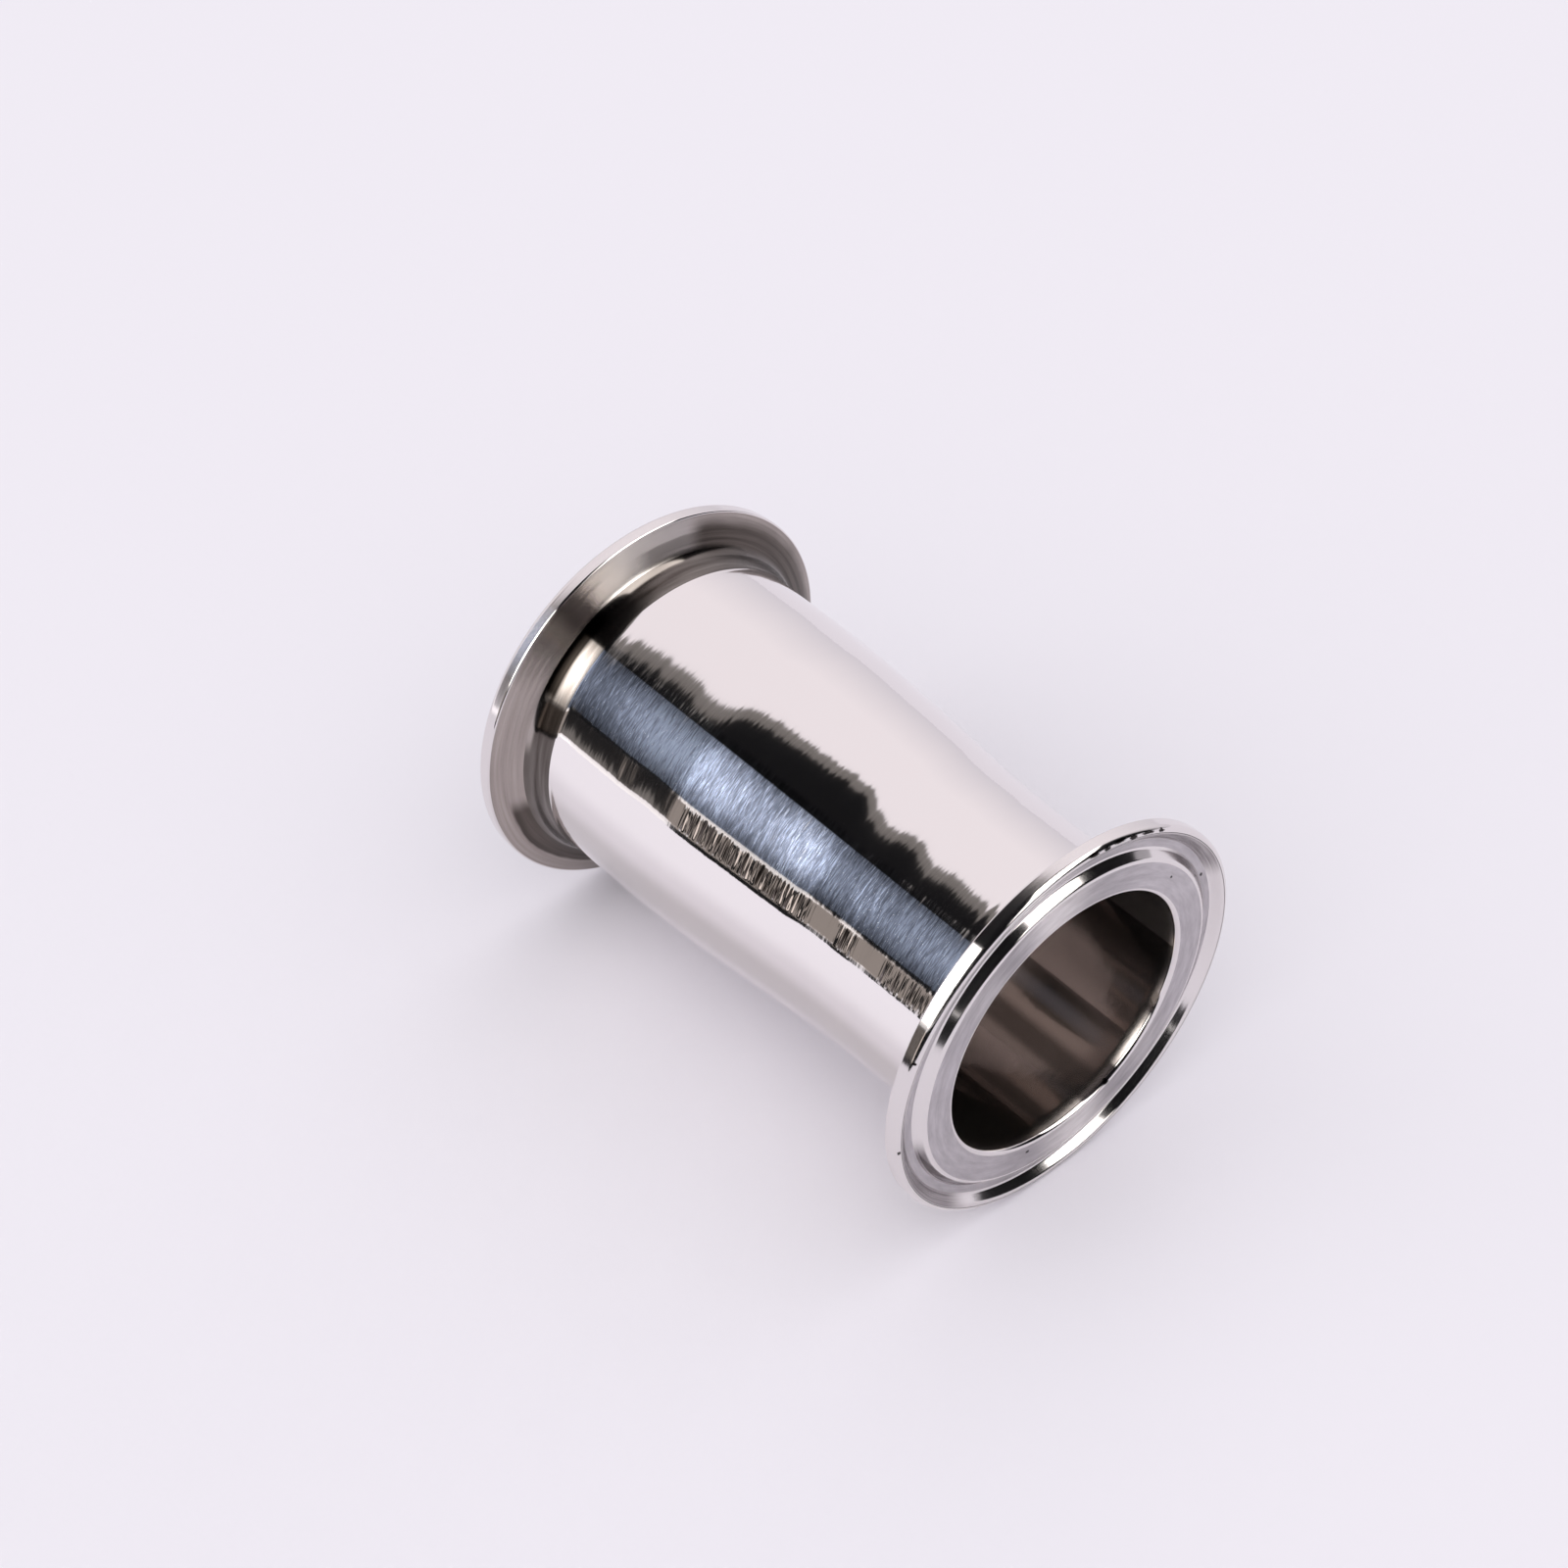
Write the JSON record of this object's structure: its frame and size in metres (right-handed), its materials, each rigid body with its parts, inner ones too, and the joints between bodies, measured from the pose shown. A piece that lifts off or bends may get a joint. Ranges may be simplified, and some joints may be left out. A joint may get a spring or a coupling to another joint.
{
  "type": "sanitary clamp reducer",
  "caption": "Concentric stainless steel tube reducer with a gasket-grooved clamp ferrule at each end, for joining two sizes of hygienic tubing.",
  "frame": {"origin": "centre of the large end face, on the axis of the bore", "axes": "+Z along the axis from the large end to the small end; the part stands on its large end; it is a solid of revolution, so X and Y are free"},
  "size_m": [0.064, 0.064, 0.092],
  "materials": {
    "polished_stainless": "mirror-polished tube with fine marks round it, satin ferrule backs, matte gasket faces, turned grooves"
  },
  "bodies": {
    "root": {"clamp_reducer": "polished_stainless"}
  },
  "joints": []
}
